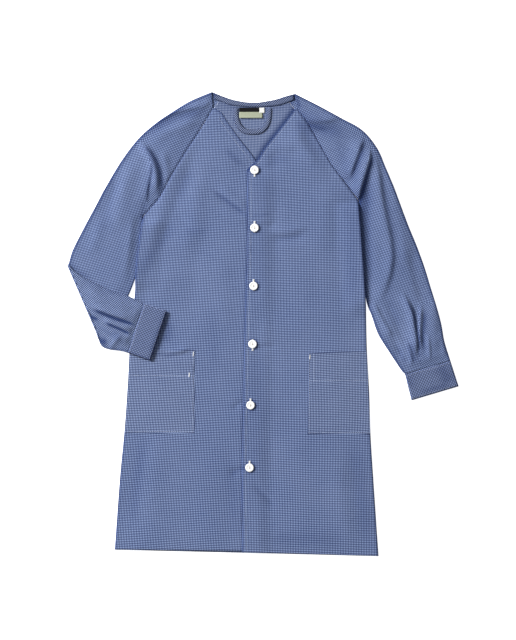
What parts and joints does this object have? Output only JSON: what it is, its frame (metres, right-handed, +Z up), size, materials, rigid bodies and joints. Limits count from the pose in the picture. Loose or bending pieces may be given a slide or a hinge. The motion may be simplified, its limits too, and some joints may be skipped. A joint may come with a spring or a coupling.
{
  "type": "school smock",
  "caption": "Button-front school smock with raglan sleeves, a V neck, patch pockets and cuffs, laid flat with one forearm folded over.",
  "frame": {"origin": "centre of the bounding box in plan, on the surface that the smock lies on", "axes": "+Z up out of the surface, towards the garment's outside front; +Y from the hem to the neck; +X towards the wearer's left sleeve"},
  "size_m": [0.6654, 0.7888, 0.0093],
  "materials": {
    "gingham": "fine blue and white checked poly-cotton, matt",
    "bias_strip": "the same checked cloth cut on the bias, matt",
    "label_black": "woven satin label, bare",
    "label_white": "woven label tab, bare",
    "label_cream": "printed-type care label, left bare",
    "button": "white moulded resin, semi-gloss"
  },
  "bodies": {
    "root": {"back": "gingham", "front_left": "gingham", "front_right": "gingham", "sleeve_left": "gingham", "sleeve_right": "gingham", "cuff_left": "gingham", "cuff_right": "gingham", "pocket_left": "gingham", "pocket_right": "gingham", "neck_facing": "bias_strip", "hanging_loop": "bias_strip", "label_main": "label_black", "label_size": "label_white", "label_care": "label_cream", "button_1": "button", "button_2": "button", "button_3": "button", "button_4": "button", "button_5": "button", "button_6": "button"}
  },
  "joints": []
}
